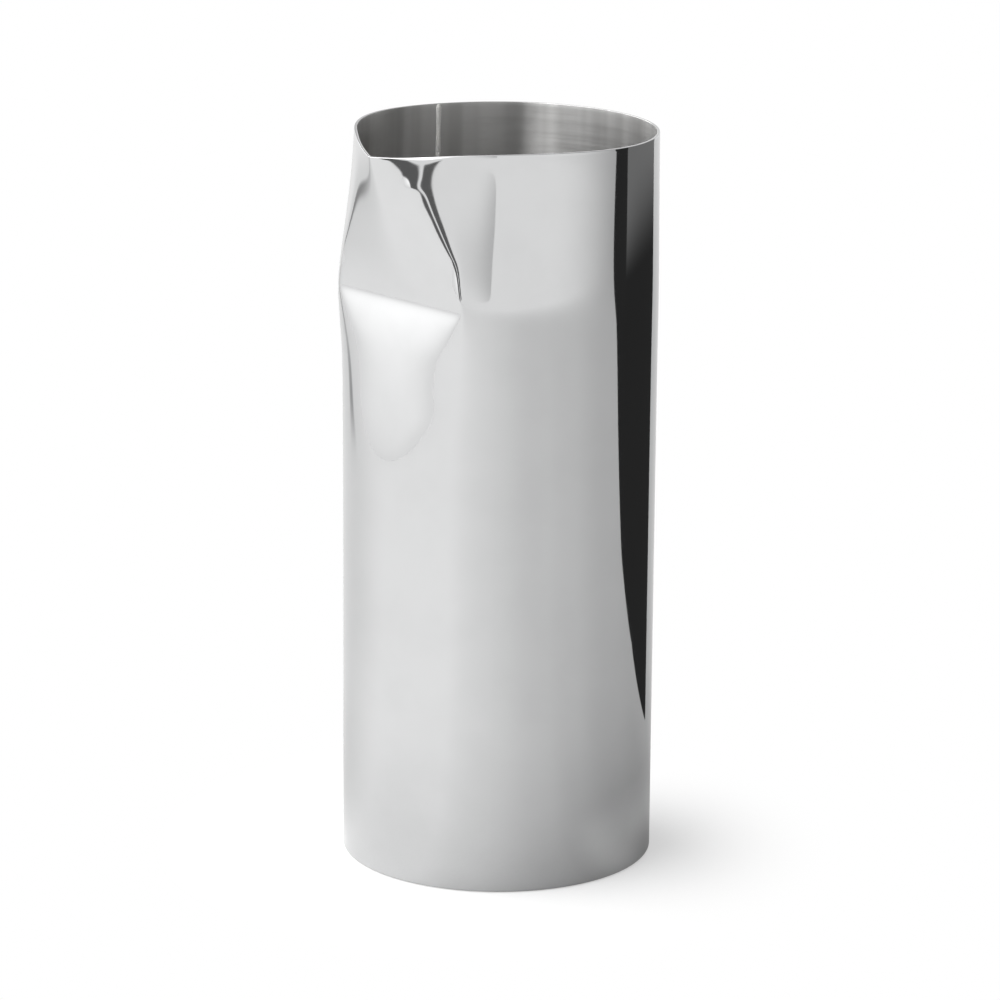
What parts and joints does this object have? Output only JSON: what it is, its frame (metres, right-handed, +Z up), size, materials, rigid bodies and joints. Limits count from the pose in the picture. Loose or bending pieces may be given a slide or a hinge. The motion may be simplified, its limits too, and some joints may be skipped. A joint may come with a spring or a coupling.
{
  "type": "carafe",
  "caption": "Straight tubular steel carafe, open at the top, with a pointed pouring lip pressed out of the wall above a level crease.",
  "frame": {"origin": "centre of the underside of the base disc, on the axis of the tube", "axes": "+Z up along the axis of the tube, -Y towards the point of the pouring lip"},
  "size_m": [0.0896, 0.0939, 0.21],
  "materials": {
    "polished_steel": "mirror polished outside, satin inside",
    "satin_steel": "satin ground",
    "weld_steel": "rippled weld bead, dressed"
  },
  "bodies": {
    "root": {"body_wall": "polished_steel", "seam_weld": "weld_steel", "base_disc": "satin_steel", "base_weld": "weld_steel"}
  },
  "joints": []
}
